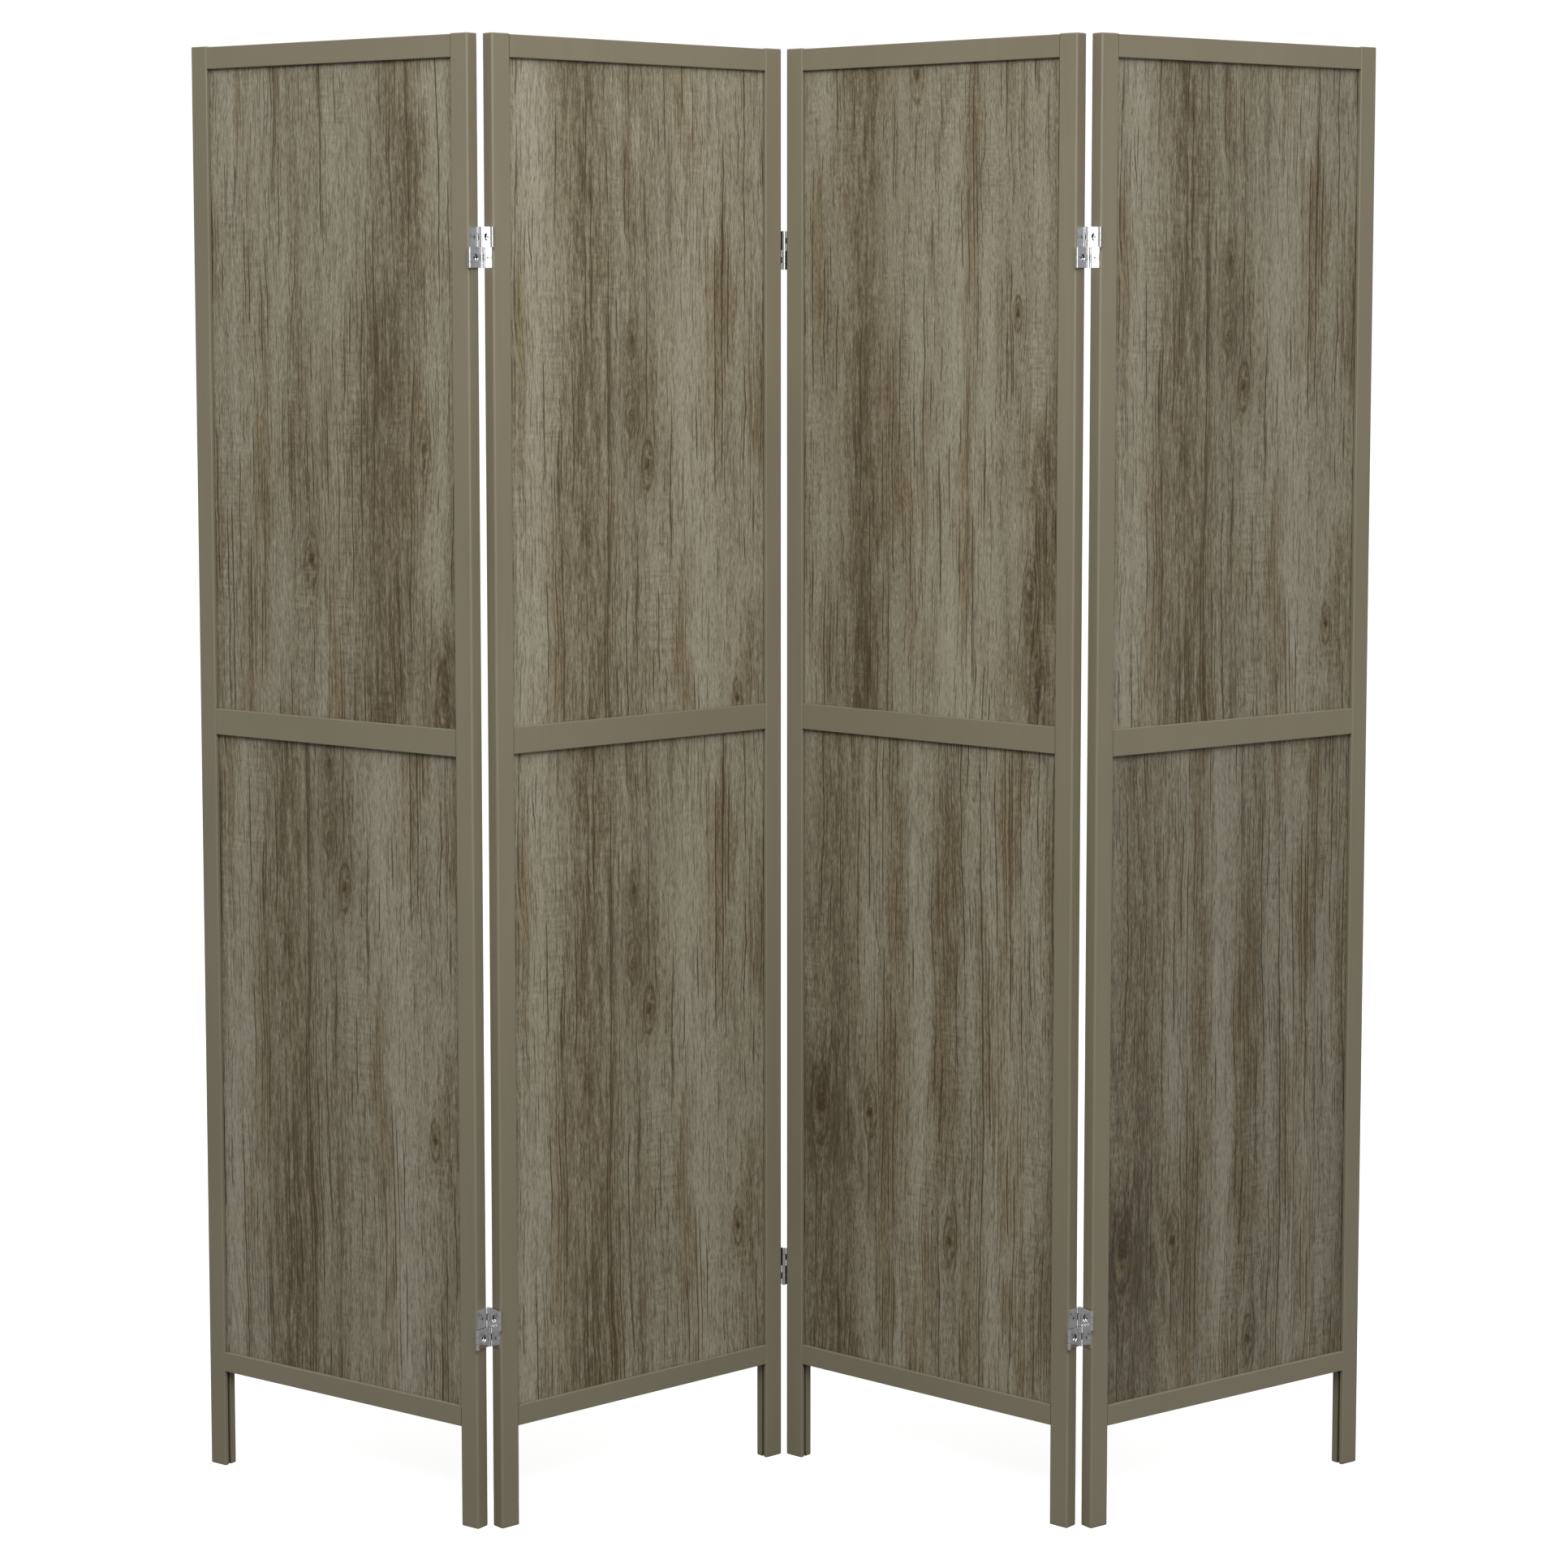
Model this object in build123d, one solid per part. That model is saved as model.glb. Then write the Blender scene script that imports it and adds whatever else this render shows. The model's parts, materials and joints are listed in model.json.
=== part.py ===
from build123d import *
import os

# Folding room divider screen: four framed panels joined edge to edge by crossed-link hinges.
# Millimetres, +Z up, viewer on the -Y side, origin on the floor at the middle of the footprint.

# Panel outline
PANEL_COUNT = 4
PANEL_HEIGHT = 1790.0
PANEL_WIDTH = 445.0

# Stiles: the two uprights of a panel, running down into the legs
STILE_WIDTH = 26.0
STILE_THICKNESS = 19.0
OUTER_EDGE_RADIUS = 2.5
INNER_EDGE_RADIUS = 1.5
STILE_END_CHAMFER = 0.8

# Rails: the three cross members of a panel
RAIL_THICKNESS = 18.0
RAIL_EDGE_RADIUS = 1.0
TOP_RAIL_HEIGHT = 27.0
TOP_RAIL_DROP = 0.8
MID_RAIL_HEIGHT = 32.5
MID_RAIL_UNDERSIDE = 941.0
OUTER_PANEL_MID_RAIL_DROP = 3.0
BOTTOM_RAIL_HEIGHT = 25.0
LEG_LENGTH = 122.6

# Groove that holds the boards, cut into every inner edge of the frame
GROOVE_FRONT_LIP = 5.0
GROOVE_WIDTH = 4.6
GROOVE_DEPTH = 6.0
TONGUE_GLUE_GAP = 0.1

# Boards
BOARD_THICKNESS = 3.2
BOARD_TUCK = 5.0
BOARD_BACK_CLEARANCE = 0.2

# Folding: angle of each fold away from flat as the screen stands
NEAR_FOLD_ANGLE = 76.0
FAR_FOLD_ANGLE = 81.0

# Hinges: two on every fold, pinned outside the front faces and outside the back faces
FOLD_GAP = 5.0
PIN_STANDOFF = 1.3
KNUCKLE_RADIUS = FOLD_GAP / 2
SHEET_THICKNESS = 1.0
PIN_RADIUS = 1.45
PIN_RUNNING_CLEARANCE = 0.05
PIN_END_CHAMFER = 0.3
HINGE_HEIGHT = 48.0
UPPER_HINGE_CENTRE = 1541.0
LOWER_HINGE_CENTRE = 246.0
HALF_SPLIT_GAP = 0.3
KNUCKLE_END_GAP = 0.25
LEAF_SETBACK = 1.6
LEAF_CORNER_RADIUS = 0.8
LINK_NOTCH_CLEARANCE = 0.4
ACCESS_HOLE_RADIUS = 4.5

# Countersunk cross-head wood screws
SCREW_HEAD_RADIUS = 3.4
SCREW_SHANK_RADIUS = 1.75
SCREW_LENGTH = 16.0
SCREW_TIP_LENGTH = 2.5
SCREW_TIP_RADIUS = 0.3
CROSS_SLOT_LENGTH = 3.8
CROSS_SLOT_WIDTH = 0.9
CROSS_SLOT_DEPTH = 1.3

# Sizes that follow from the ones above
RAIL_LENGTH = PANEL_WIDTH - 2 * STILE_WIDTH
RAIL_RECESS = (STILE_THICKNESS - RAIL_THICKNESS) / 2
GROOVE_MIDDLE = GROOVE_FRONT_LIP + GROOVE_WIDTH / 2
BOARD_MIDDLE = GROOVE_FRONT_LIP + GROOVE_WIDTH - BOARD_BACK_CLEARANCE - BOARD_THICKNESS / 2
TOP_RAIL_UNDERSIDE = PANEL_HEIGHT - TOP_RAIL_DROP - TOP_RAIL_HEIGHT
PIN_OFFSET = STILE_THICKNESS / 2 + PIN_STANDOFF
PIN_PITCH = PANEL_WIDTH + FOLD_GAP
HALF_HEIGHT = (HINGE_HEIGHT - HALF_SPLIT_GAP) / 2
HALF_CENTRE = HINGE_HEIGHT / 4
KNUCKLE_LENGTH = (HALF_HEIGHT - 2 * KNUCKLE_END_GAP) / 3
HINGE_CENTRES = (LOWER_HINGE_CENTRE, UPPER_HINGE_CENTRE)
BOX_CORNER = (Align.MIN, Align.MIN, Align.MIN)


def mid_rail_underside(panel):
    """The outer panels have their middle rail a little lower than the inner ones."""
    if panel in (1, PANEL_COUNT):
        return MID_RAIL_UNDERSIDE - OUTER_PANEL_MID_RAIL_DROP
    return MID_RAIL_UNDERSIDE


# ---------------------------------------------------------------- panel parts
# A panel is drawn with its left end at X = 0, its front face at Y = 0 and its feet at Z = 0.


def stile_blank():
    """Upright with its outer edge at X = 0 and its grooved inner edge at X = STILE_WIDTH."""
    blank = Box(STILE_WIDTH, STILE_THICKNESS, PANEL_HEIGHT, align=BOX_CORNER)
    uprights = blank.edges().filter_by(Axis.Z).sort_by(Axis.X)
    blank = fillet(uprights[:2], OUTER_EDGE_RADIUS)
    uprights = blank.edges().filter_by(Axis.Z).sort_by(Axis.X)
    blank = fillet(uprights[-2:], INNER_EDGE_RADIUS)
    ends = blank.faces().filter_by(Axis.Z)
    blank = chamfer(ends.edges(), STILE_END_CHAMFER)
    groove = Pos(STILE_WIDTH - GROOVE_DEPTH, GROOVE_FRONT_LIP, 0) * Box(
        GROOVE_DEPTH, GROOVE_WIDTH, PANEL_HEIGHT, align=BOX_CORNER
    )
    return blank - groove


def hinge_screw_places():
    """Heights of the two screws of one leaf, for both hinges."""
    return [centre + side * HALF_CENTRE for centre in HINGE_CENTRES for side in (-1, 1)]


def left_stile(panel):
    stile = stile_blank()
    if panel > 1:
        for height in hinge_screw_places():
            stile -= Pos(0, STILE_THICKNESS / 2, height) * Rot(0, 0, 180) * screw_blank()
    return stile


def right_stile(panel):
    stile = Pos(PANEL_WIDTH, 0, 0) * mirror(stile_blank(), Plane.YZ)
    if panel < PANEL_COUNT:
        for height in hinge_screw_places():
            stile -= Pos(PANEL_WIDTH, STILE_THICKNESS / 2, height) * screw_blank()
    return stile


def rail(underside, height, groove_above, groove_below):
    """Cross member with a stub tongue on each end and a board groove in its open edges."""
    body = Box(RAIL_LENGTH, RAIL_THICKNESS, height, align=BOX_CORNER)
    body = fillet(body.edges().filter_by(Axis.X), RAIL_EDGE_RADIUS)
    body = Pos(STILE_WIDTH, RAIL_RECESS, 0) * body
    tongue_length = GROOVE_DEPTH - TONGUE_GLUE_GAP
    tongue_thickness = GROOVE_WIDTH - 2 * TONGUE_GLUE_GAP
    tongue = Box(
        RAIL_LENGTH + 2 * tongue_length,
        tongue_thickness,
        height - 2 * RAIL_EDGE_RADIUS,
        align=(Align.CENTER, Align.CENTER, Align.MIN),
    )
    body += Pos(PANEL_WIDTH / 2, GROOVE_MIDDLE, RAIL_EDGE_RADIUS) * tongue
    groove = Box(
        PANEL_WIDTH, GROOVE_WIDTH, GROOVE_DEPTH, align=(Align.CENTER, Align.CENTER, Align.MIN)
    )
    if groove_above:
        body -= Pos(PANEL_WIDTH / 2, GROOVE_MIDDLE, height - GROOVE_DEPTH) * groove
    if groove_below:
        body -= Pos(PANEL_WIDTH / 2, GROOVE_MIDDLE, 0) * groove
    return Pos(0, 0, underside) * body


def top_rail():
    return rail(TOP_RAIL_UNDERSIDE, TOP_RAIL_HEIGHT, groove_above=False, groove_below=True)


def mid_rail(panel):
    return rail(mid_rail_underside(panel), MID_RAIL_HEIGHT, groove_above=True, groove_below=True)


def bottom_rail():
    return rail(LEG_LENGTH, BOTTOM_RAIL_HEIGHT, groove_above=True, groove_below=False)


def board(opening_bottom, opening_top):
    """Thin board standing on the floor of the groove below it, close to the groove's back."""
    length = RAIL_LENGTH + 2 * BOARD_TUCK
    height = opening_top - opening_bottom + GROOVE_DEPTH + BOARD_TUCK
    sheet = Box(length, BOARD_THICKNESS, height, align=(Align.CENTER, Align.CENTER, Align.MIN))
    return Pos(PANEL_WIDTH / 2, BOARD_MIDDLE, opening_bottom - GROOVE_DEPTH) * sheet


def upper_board(panel):
    return board(mid_rail_underside(panel) + MID_RAIL_HEIGHT, TOP_RAIL_UNDERSIDE)


def lower_board(panel):
    return board(LEG_LENGTH + BOTTOM_RAIL_HEIGHT, mid_rail_underside(panel))


# ---------------------------------------------------------------- hinge parts
# A hinge is drawn as it sits in a flat screen: gap centred on X = 0, panel thickness centred on
# Y = 0, the front pins at Y = -PIN_OFFSET and the back pins at Y = +PIN_OFFSET.


def screw_blank():
    """Screw without its cross recess, driven along -X into an end face standing at X = 0."""
    face = SHEET_THICKNESS
    neck = face - (SCREW_HEAD_RADIUS - SCREW_SHANK_RADIUS)
    end = face - SCREW_LENGTH
    outline = Polyline(
        (face, 0),
        (face, SCREW_HEAD_RADIUS),
        (neck, SCREW_SHANK_RADIUS),
        (end + SCREW_TIP_LENGTH, SCREW_SHANK_RADIUS),
        (end, SCREW_TIP_RADIUS),
        (end, 0),
        close=True,
    )
    return revolve(make_face(outline), Axis.X)


def screw():
    slot = Box(
        CROSS_SLOT_DEPTH,
        CROSS_SLOT_LENGTH,
        CROSS_SLOT_WIDTH,
        align=(Align.MAX, Align.CENTER, Align.CENTER),
    )
    cross = Pos(SHEET_THICKNESS, 0, 0) * slot
    return screw_blank() - cross - Rot(90, 0, 0) * cross


def knuckle(bottom, radius_inside):
    """One rolled knuckle on the Z axis."""
    place = Pos(0, 0, bottom)
    outside = Cylinder(KNUCKLE_RADIUS, KNUCKLE_LENGTH, align=(Align.CENTER, Align.CENTER, Align.MIN))
    inside = Cylinder(radius_inside, KNUCKLE_LENGTH, align=(Align.CENTER, Align.CENTER, Align.MIN))
    return place * (outside - inside)


def knuckle_bottoms():
    """Bottoms of the three knuckles stacked on one pin of the upper half."""
    step = KNUCKLE_LENGTH + KNUCKLE_END_GAP
    return [HALF_SPLIT_GAP / 2 + index * step for index in range(3)]


def leaf_half():
    """Upper half of the left leaf: plate, and its one knuckle round the back pin."""
    plate_depth = STILE_THICKNESS - 2 * LEAF_SETBACK
    plate = Box(
        SHEET_THICKNESS,
        plate_depth,
        HINGE_HEIGHT / 2,
        align=(Align.MIN, Align.CENTER, Align.MIN),
    )
    plate = fillet(plate.edges().filter_by(Axis.X).group_by(Axis.Z)[-1], LEAF_CORNER_RADIUS)
    middle_bottom = knuckle_bottoms()[1]
    tab = Pos(0, 0, middle_bottom) * Box(SHEET_THICKNESS, PIN_OFFSET, KNUCKLE_LENGTH, align=BOX_CORNER)
    bore = PIN_RADIUS + PIN_RUNNING_CLEARANCE
    sheet = Pos(-FOLD_GAP / 2, 0, 0) * (plate + tab)
    half = sheet + Pos(0, PIN_OFFSET, 0) * knuckle(middle_bottom, bore)
    return half - Pos(0, PIN_OFFSET, 0) * Cylinder(bore, HINGE_HEIGHT)


def left_leaf():
    """Full-height leaf on the left panel: back knuckle above, front knuckle below."""
    leaf = leaf_half() + Rot(180, 0, 0) * leaf_half()
    for side in (-1, 1):
        leaf -= Pos(-FOLD_GAP / 2, 0, side * HALF_CENTRE) * screw_blank()
    return leaf


def right_leaf():
    """Full-height leaf on the right panel: front knuckle above, back knuckle below."""
    return Rot(0, 0, 180) * left_leaf()


def upper_link():
    """Half-height plate joining a front pin to a back pin, two knuckles on each."""
    bottoms = knuckle_bottoms()
    plate = Pos(0, 0, bottoms[0]) * Box(
        SHEET_THICKNESS, 2 * PIN_OFFSET, HALF_HEIGHT, align=(Align.CENTER, Align.CENTER, Align.MIN)
    )
    notch = Box(
        2 * KNUCKLE_RADIUS,
        2 * (KNUCKLE_RADIUS + LINK_NOTCH_CLEARANCE),
        KNUCKLE_LENGTH + 2 * KNUCKLE_END_GAP,
        align=(Align.CENTER, Align.CENTER, Align.MIN),
    )
    link = plate
    for side in (-1, 1):
        link -= Pos(0, side * PIN_OFFSET, 0) * Cylinder(PIN_RADIUS, 2 * HINGE_HEIGHT)
        link -= Pos(0, side * PIN_OFFSET, bottoms[1] - KNUCKLE_END_GAP) * notch
        for bottom in (bottoms[0], bottoms[2]):
            link += Pos(0, side * PIN_OFFSET, 0) * knuckle(bottom, PIN_RADIUS)
    access = Pos(0, 0, HALF_CENTRE) * Rot(0, 90, 0) * Cylinder(ACCESS_HOLE_RADIUS, FOLD_GAP)
    return link - access


def lower_link():
    return Rot(180, 0, 0) * upper_link()


def upper_pins():
    """The front and back pins riveted into an upper link."""
    pin = Cylinder(PIN_RADIUS, HALF_HEIGHT, align=(Align.CENTER, Align.CENTER, Align.MIN))
    pin = chamfer(pin.edges().filter_by(GeomType.CIRCLE), PIN_END_CHAMFER)
    return [Pos(0, side * PIN_OFFSET, HALF_SPLIT_GAP / 2) * pin for side in (-1, 1)]


def lower_pins():
    return [Rot(180, 0, 0) * pin for pin in upper_pins()]


# ---------------------------------------------------------------- placing


def panel_headings():
    """Direction of each panel's width seen from above, in degrees from +X."""
    inner = FAR_FOLD_ANGLE / 2
    outer = NEAR_FOLD_ANGLE - inner
    return {1: -outer, 2: inner, 3: -inner, 4: outer}


def moved_back(place, point):
    """Slide a turned panel so that its own point lands on the given one."""
    return place * Pos(-point.X, -point.Y, 0)


def panel_places():
    """Where each panel stands, with the middle fold's front pins on the Z axis."""
    heading = panel_headings()
    left_front = Vector(-FOLD_GAP / 2, -PIN_STANDOFF, 0)
    left_back = Vector(-FOLD_GAP / 2, STILE_THICKNESS + PIN_STANDOFF, 0)
    right_front = left_front + Vector(PIN_PITCH, 0, 0)
    right_back = left_back + Vector(PIN_PITCH, 0, 0)
    places = {}
    places[2] = moved_back(Rot(0, 0, heading[2]), right_front)
    places[3] = moved_back(Rot(0, 0, heading[3]), left_front)
    near_left = (places[2] * Pos(left_back.X, left_back.Y, 0)).position
    places[1] = moved_back(Pos(near_left.X, near_left.Y, 0) * Rot(0, 0, heading[1]), right_back)
    near_right = (places[3] * Pos(right_back.X, right_back.Y, 0)).position
    places[4] = moved_back(Pos(near_right.X, near_right.Y, 0) * Rot(0, 0, heading[4]), left_back)
    pins = {1: near_left, 2: Vector(0, 0, 0), 3: near_right}
    return places, pins


def on_both_hinges(shapes, fold, panel):
    """Copies of hinge shapes for the lower and upper hinge of a fold, in the panel's own frame."""
    along = PANEL_WIDTH + FOLD_GAP / 2 if panel == fold else -FOLD_GAP / 2
    copies = []
    for centre in HINGE_CENTRES:
        for shape in shapes:
            copies.append(Pos(along, STILE_THICKNESS / 2, centre) * shape)
    return copies


def panel_nodes(panel):
    """Every part of one panel in the panel's own frame, by node name."""
    screws = []
    if panel > 1:
        driven_right = Pos(0, STILE_THICKNESS / 2, 0) * Rot(0, 0, 180) * screw()
        screws += [Pos(0, 0, height) * driven_right for height in hinge_screw_places()]
    if panel < PANEL_COUNT:
        driven_left = Pos(PANEL_WIDTH, STILE_THICKNESS / 2, 0) * screw()
        screws += [Pos(0, 0, height) * driven_left for height in hinge_screw_places()]
    return {
        f"panel_{panel}_left_stile": [left_stile(panel)],
        f"panel_{panel}_right_stile": [right_stile(panel)],
        f"panel_{panel}_top_rail": [top_rail()],
        f"panel_{panel}_mid_rail": [mid_rail(panel)],
        f"panel_{panel}_bottom_rail": [bottom_rail()],
        f"panel_{panel}_upper_board": [upper_board(panel)],
        f"panel_{panel}_lower_board": [lower_board(panel)],
        f"panel_{panel}_hinge_screws": screws,
    }


def link_carriers(fold):
    """The panels that carry the upper and the lower links: a link stays with the panel its idle
    pin is on. The outer folds turn on their back pins, the middle fold on its front pins."""
    left, right = fold, fold + 1
    if fold == 2:
        return left, right
    return right, left


def fold_nodes(fold):
    """Every hinge part of one fold, by node name, with the panel that carries it."""
    left, right = fold, fold + 1
    above, below = link_carriers(fold)
    parts = {
        "left_leaves": (left, [left_leaf()]),
        "right_leaves": (right, [right_leaf()]),
        "upper_links": (above, [upper_link()]),
        "upper_link_pins": (above, upper_pins()),
        "lower_links": (below, [lower_link()]),
        "lower_link_pins": (below, lower_pins()),
    }
    return {
        f"fold_{fold}_{name}": (panel, on_both_hinges(shapes, fold, panel))
        for name, (panel, shapes) in parts.items()
    }


def assembly():
    """All nodes placed in the shared frame, and the vertical line each fold turns about."""
    places, pins = panel_places()
    placed = {}
    for panel, place in places.items():
        for name, shapes in panel_nodes(panel).items():
            placed[name] = [place * shape for shape in shapes]
    for fold in pins:
        for name, (panel, shapes) in fold_nodes(fold).items():
            placed[name] = [places[panel] * shape for shape in shapes]
    everything = Compound(children=[shape for shapes in placed.values() for shape in shapes])
    middle = everything.bounding_box().center()
    shift = Pos(-middle.X, -middle.Y, 0)
    nodes = {name: [shift * shape for shape in shapes] for name, shapes in placed.items()}
    axes = {fold: pin - Vector(middle.X, middle.Y, 0) for fold, pin in pins.items()}
    return nodes, axes


def main():
    os.makedirs("parts", exist_ok=True)
    nodes, axes = assembly()
    for name, shapes in nodes.items():
        solids = [solid for shape in shapes for solid in shape.solids()]
        shape = solids[0] if len(solids) == 1 else Compound(children=solids)
        export_step(shape, f"parts/{name}.step")
    for fold, pin in axes.items():
        print(f"fold {fold} turns about x {pin.X:.4f} y {pin.Y:.4f}")


if __name__ == "__main__":
    main()
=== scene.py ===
import json
import math

import bpy
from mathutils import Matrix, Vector


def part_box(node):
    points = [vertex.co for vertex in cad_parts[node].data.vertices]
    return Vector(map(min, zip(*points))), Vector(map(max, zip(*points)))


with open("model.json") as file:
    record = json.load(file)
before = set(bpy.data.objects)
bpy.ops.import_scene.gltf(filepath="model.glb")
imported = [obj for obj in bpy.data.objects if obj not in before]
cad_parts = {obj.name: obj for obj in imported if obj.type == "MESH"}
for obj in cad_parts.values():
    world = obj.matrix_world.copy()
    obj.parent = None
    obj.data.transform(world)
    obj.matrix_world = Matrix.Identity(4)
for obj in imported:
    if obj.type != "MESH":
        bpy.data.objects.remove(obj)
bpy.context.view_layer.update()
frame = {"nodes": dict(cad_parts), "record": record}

# Folding room divider screen: looks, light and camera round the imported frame.
# Metres, +Z up, the viewer on the -Y side.

# Camera: in front of the middle fold at eye height, tilted slightly down
CAMERA_PLACE = (-0.0121, -4.4557, 1.4816)
CAMERA_TILT_DOWN = 5.2
CAMERA_TURN = -0.152
CAMERA_LENS = 83.965
CAMERA_SENSOR = 36.0
CAMERA_SHIFT_Y = -0.0976

WHITE = (1.0, 1.0, 1.0, 1.0)

# Surroundings. The camera sees FLOOR_COLOUR with the glow FLOOR_LIFT; only FLOOR_BOUNCE throws
# light back. The sky's light grows from the horizon up to SKY_TOP, where 1 is straight up.
FLOOR_SIZE = 60.0
FLOOR_COLOUR = (0.55, 0.55, 0.55, 1.0)
FLOOR_BOUNCE = (0.19, 0.185, 0.18, 1.0)
FLOOR_LIFT = 0.62
FLOOR_ROUGHNESS = 0.9
FLOOR_SPECULAR = 0.1
SKY_LIGHT_LOW = 0.28
SKY_LIGHT_HIGH = 0.95
SKY_TOP = 0.9
SKY_SEEN = 1.05

# Area lights: name, place, the point it faces, size across and up, power in watts
AREA_LIGHTS = (
    ("key", (-0.1, -2.4, 2.8), (0.0, 0.0, 1.35), (3.6, 1.0), 78.0),
    ("side", (1.6, -3.4, 1.65), (0.0, 0.0, 1.5), (1.2, 1.0), 14.0),
    ("back", (0.3, 3.2, 2.3), (0.0, 0.0, 1.1), (2.6, 1.2), 34.0),
)
# Sun: name, heading and elevation in degrees, strength, angle across in degrees
FILL_SUN = ("fill", 10.0, 55.0, 0.8, 60.0)

# In the ranges below, four numbers are: value from, value to, result from, result to; with only
# the first two the result runs from 0 to 1. The bumps are: distance in metres, strength.

NOISE_MIDDLE = 0.5
RAMP_MIDDLE = 0.5

# Satin taupe paint
BRUSH_SCALE = (220.0, 220.0, 6.0)
CLOUD_SCALE = 4.0
SPRAY_SCALE = 900.0
BRUSH_TONE = 0.35
CLOUD_TONE = 0.9
PAINT_COLOURS = ((0.2, (0.160, 0.141, 0.094)), (0.8, (0.186, 0.164, 0.112)))
# Rounded edges lightened in patches: partly rubbed wear, partly a painted highlight
EDGE_RADIUS = 0.0012
EDGE_RANGE = (0.985, 0.90)
EDGE_PATCH_SCALE = 60.0
EDGE_PATCH_RANGE = (0.45, 0.7)
EDGE_WEAR_AND_HIGHLIGHT_SHARE = 0.25
EDGE_WEAR_AND_HIGHLIGHT_COLOUR = (0.25, 0.222, 0.160, 1.0)
# Painted shade: the paint is darkened towards the dark colour below in recesses narrower than the
# size
RECESS_SHADE_SIZE = 0.008
RECESS_SHADE_RANGE = (0.50, 0.18, 0.0, 0.85)
RECESS_SHADE_COLOUR = (0.030, 0.025, 0.016, 1.0)
PAINT_ROUGHNESS = (0.3, 0.7, 0.42, 0.52)
PAINT_SPECULAR = 0.45
SPRAY_HEIGHT = 0.35
PAINT_BUMP = (0.00012, 0.5)

# Zinc plating: two colours, lowest and highest roughness, scale of the rolling marks
ZINC_FINISHES = {
    "zinc_sheet": (((0.72, 0.73, 0.74), (0.93, 0.93, 0.94)), (0.14, 0.26), (900.0, 900.0, 60.0)),
    "zinc_pin": (((0.52, 0.53, 0.55), (0.82, 0.82, 0.84)), (0.14, 0.28), (60.0, 60.0, 900.0)),
    "zinc_screw": (((0.55, 0.56, 0.58), (0.85, 0.85, 0.86)), (0.16, 0.32), (500.0, 500.0, 500.0)),
}
ZINC_STOPS = (0.2, 0.8)
MOTTLE_SCALE = 350.0
ZINC_TONE = 0.7
# Painted shade: the plating is darkened towards the dark colour below in recesses narrower than
# the size
CREVICE_SHADE_SIZE = 0.0025
CREVICE_SHADE_RANGE = (0.75, 0.25, 0.0, 0.85)
CREVICE_SHADE_COLOUR = (0.05, 0.05, 0.05, 1.0)
ZINC_BUMP = (0.00006, 0.5)

# Oak grain, noise layers: scale across and up per metre, seed offset, detail, roughness. The wave
# and the ripple bend the grain that the others make.
OAK_LAYERS = {
    "wave": (6.0, 2.6, 11.0, 2.0, 0.5),
    "ripple": (30.0, 16.0, 43.0, 3.0, 0.5),
    "stain": (26.0, 3.0, 29.0, 4.0, 0.62),
    "bands": (13.0, 0.6, 0.0, 4.0, 0.6),
    "streaks": (110.0, 2.2, 3.0, 4.0, 0.72),
    "grain": (950.0, 110.0, 5.0, 3.0, 0.75),
    "fibres": (420.0, 14.0, 47.0, 3.0, 0.7),
    "dashes": (640.0, 50.0, 7.0, 2.0, 0.6),
    "figure": (16.0, 1.6, 13.0, 2.0, 0.5),
    "ring_zones": (11.0, 2.2, 17.0, 2.0, 0.5),
    "saw": (30.0, 300.0, 19.0, 2.0, 0.5),
    "saw_zones": (16.0, 5.0, 23.0, 2.0, 0.5),
}
WAVE = 0.024
RIPPLE = 0.006
WAVE_BACK = 0.015  # half of both, so that the grain stays in place on the whole
TONE_MIDDLE = 0.57
TONE_SHARES = {"bands": 0.75, "stain": -0.40, "streaks": 0.55, "fibres": 0.55, "grain": 2.10}
SAW_TONE = 0.50
SAW_ZONES = (0.52, 0.66)
STREAKS_IN_STAIN = -0.35
BROWN_RANGE = (0.49, 0.70)
RING_COUNT = 26.0
RING_HALF_WIDTH = 0.25
RING_ZONES = (0.50, 0.68)
RING_DARKNESS = 0.35
DASH_RANGE = (0.40, 0.28)
DASH_DARKNESS = 0.55
GRAIN_HEIGHT = 0.8
STREAKS_HEIGHT = 0.5
SAW_HEIGHT = 0.15

# Upright hairlines, checks and long cracks of the grain: darkness, lanes per metre, scale up,
# seed offset, threshold, half width in metres. A line keeps clear of its lane's margins.
OAK_CRACKS = (
    (0.7, 210.0, 18.0, 41.0, 0.50, 0.0011),
    (1.0, 80.0, 7.0, 37.0, 0.52, 0.0014),
    (1.0, 27.0, 2.6, 31.0, 0.52, 0.0016),
)
LANE_MARGIN = 0.2
LANE_STEP = 3.7
LANE_THINNEST = 0.0001
STAIN_CRACKS = 0.7
CRACK_FADE = 0.10

# Knots: shapes are weights across and up, blotches are the noise's share and the rest
KNOT_PUSH_SHAPE = (0.55, 0.17)
KNOT_PUSH = -0.85
KNOT_CORE_SHAPE = (1.25, 0.8)
KNOT_CORE = (1.15, 0.45)
KNOT_RAGGED = 2.6
KNOT_BLOTCH = (0.36, 0.56)
CORE_BLOTCH = (0.65, 0.35)
RIM_BLOTCH = (0.5, 0.2)
KNOT_RIM_SPREAD = 9.0
KNOT_RIM_RADIUS = 2.1
KNOT_RIM_HALF_WIDTH = 0.45
KNOT_HALO_FALL = -1.8

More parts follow.
